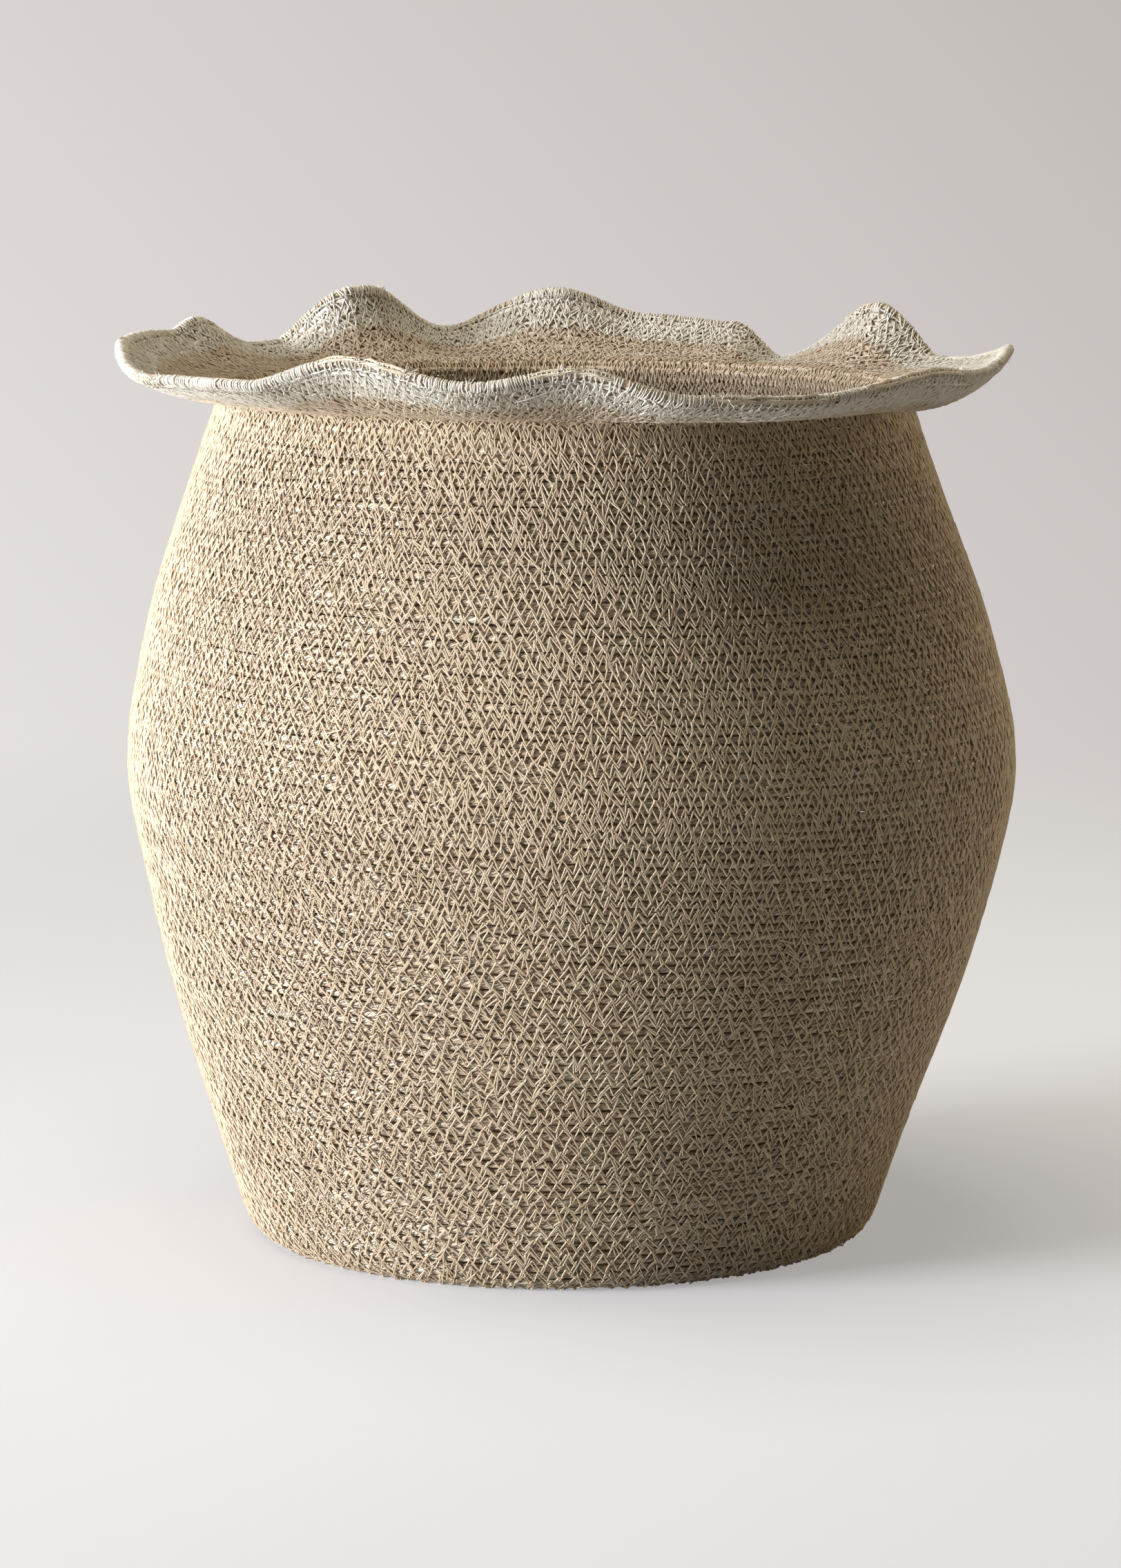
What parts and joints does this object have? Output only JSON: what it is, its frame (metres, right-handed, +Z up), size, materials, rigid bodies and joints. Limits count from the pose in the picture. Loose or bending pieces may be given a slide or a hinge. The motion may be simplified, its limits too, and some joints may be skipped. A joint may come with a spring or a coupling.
{
  "type": "belly basket",
  "caption": "Free-standing coiled seagrass belly basket with a flat base, a round belly, a narrow neck and a flared, wavy collar whose rim is whipped with white thread.",
  "frame": {"origin": "middle of the base's underside, on the surface that the basket stands on", "axes": "+Z up, -Y towards the side that the picture shows, +X to the right in it"},
  "size_m": [0.4035, 0.4008, 0.4192],
  "materials": {
    "seagrass_undyed": "rows of straw-coloured seagrass cord, sewn side by side with undyed zigzag thread, matt",
    "seagrass_white_sewn": "the same cord, sewn with off-white zigzag thread, matt",
    "bare_seagrass": "twisted strands of seagrass, slightly silky",
    "white_thread": "off-white cotton-like thread, whipped over the rim"
  },
  "bodies": {
    "root": {"base_coil": "seagrass_undyed", "heel_coil": "seagrass_undyed", "lower_wall_coil": "seagrass_undyed", "upper_wall_coil": "seagrass_undyed", "neck_coil": "seagrass_undyed", "collar_undyed_coil": "seagrass_undyed", "collar_white_coil": "seagrass_white_sewn", "rim_cord": "bare_seagrass", "rim_whipping": "white_thread"}
  },
  "joints": []
}
